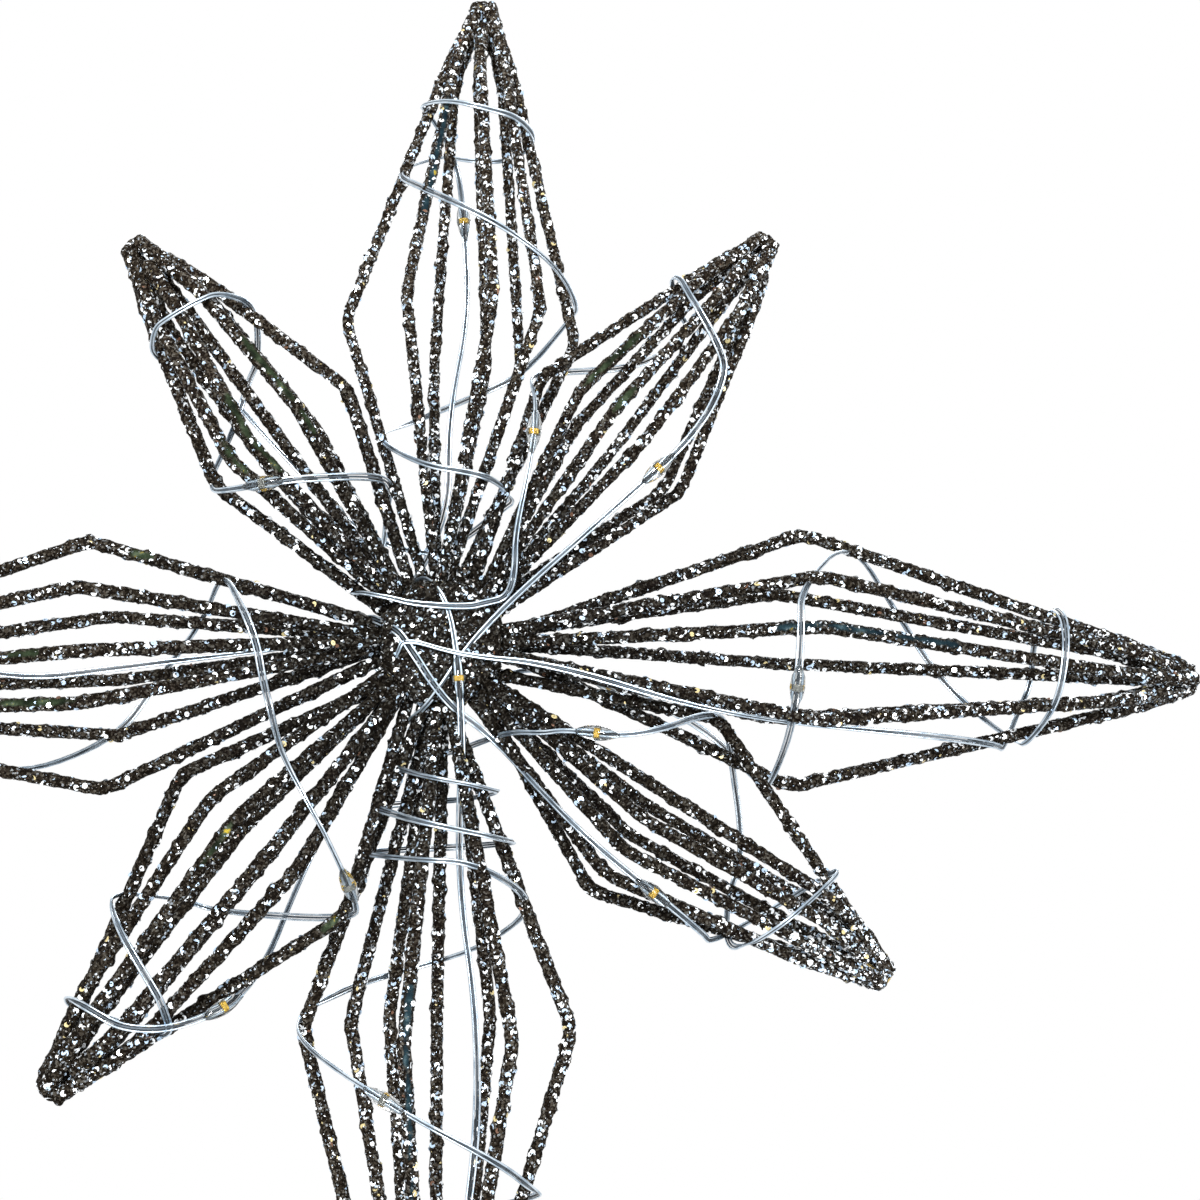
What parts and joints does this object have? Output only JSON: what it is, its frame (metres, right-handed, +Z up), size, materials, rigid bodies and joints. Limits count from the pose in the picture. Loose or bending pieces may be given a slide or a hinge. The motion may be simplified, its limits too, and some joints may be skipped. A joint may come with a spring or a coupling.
{
  "type": "christmas tree topper star",
  "caption": "Eight-pointed star of glittered bent-wire cages round a hub, wound with a string of small lamps, on a spiral wire socket that slips over a tree's top shoot.",
  "frame": {"origin": "middle of the spiral socket's mouth, at its lower end", "axes": "+Z up along the socket to the middle of the star, the star faces -Y, +X to the viewer's right"},
  "size_m": [0.308, 0.0586, 0.3809],
  "materials": {
    "glitter_coat": "dark paint crusted with silver glitter",
    "braze": "rough",
    "clear_lead": "clear",
    "clear_resin": "clear",
    "lamp_chip": "matt",
    "case_plastic": "fine grain",
    "cell_steel": "satin",
    "contact_steel": "bright",
    "switch_plastic": "matt",
    "tie_wire": "galvanised"
  },
  "bodies": {
    "star": {"hub_block": "glitter_coat", "spiral_socket": "glitter_coat", "light_string": "clear_lead", "lamp_drops": "clear_resin", "lamp_chips": "lamp_chip", "battery_case": "case_plastic", "coin_cells": "cell_steel", "cell_spring": "contact_steel", "cell_clip": "contact_steel", "switch_body": "switch_plastic", "case_ties": "tie_wire", "east_wires": "glitter_coat", "north_east_wires": "glitter_coat", "north_wires": "glitter_coat", "north_west_wires": "glitter_coat", "west_wires": "glitter_coat", "south_west_wires": "glitter_coat", "south_wires": "glitter_coat", "south_east_wires": "glitter_coat", "east_tip_bead": "braze", "north_east_tip_bead": "glitter_coat", "north_tip_bead": "glitter_coat", "north_west_tip_bead": "glitter_coat", "west_tip_bead": "glitter_coat", "south_west_tip_bead": "glitter_coat", "south_tip_bead": "glitter_coat", "south_east_tip_bead": "braze"},
    "cover": {"battery_cover": "case_plastic"},
    "slider": {"switch_slider": "switch_plastic"}
  },
  "joints": [
    {"name": "cover_slide", "type": "slide", "parent": "star", "child": "cover", "axis": [0, 0, -1], "range_m": [0, 0.03]},
    {"name": "switch_slide", "type": "slide", "parent": "star", "child": "slider", "axis": [0, 0, 1], "range_m": [0, 0.0025]}
  ]
}
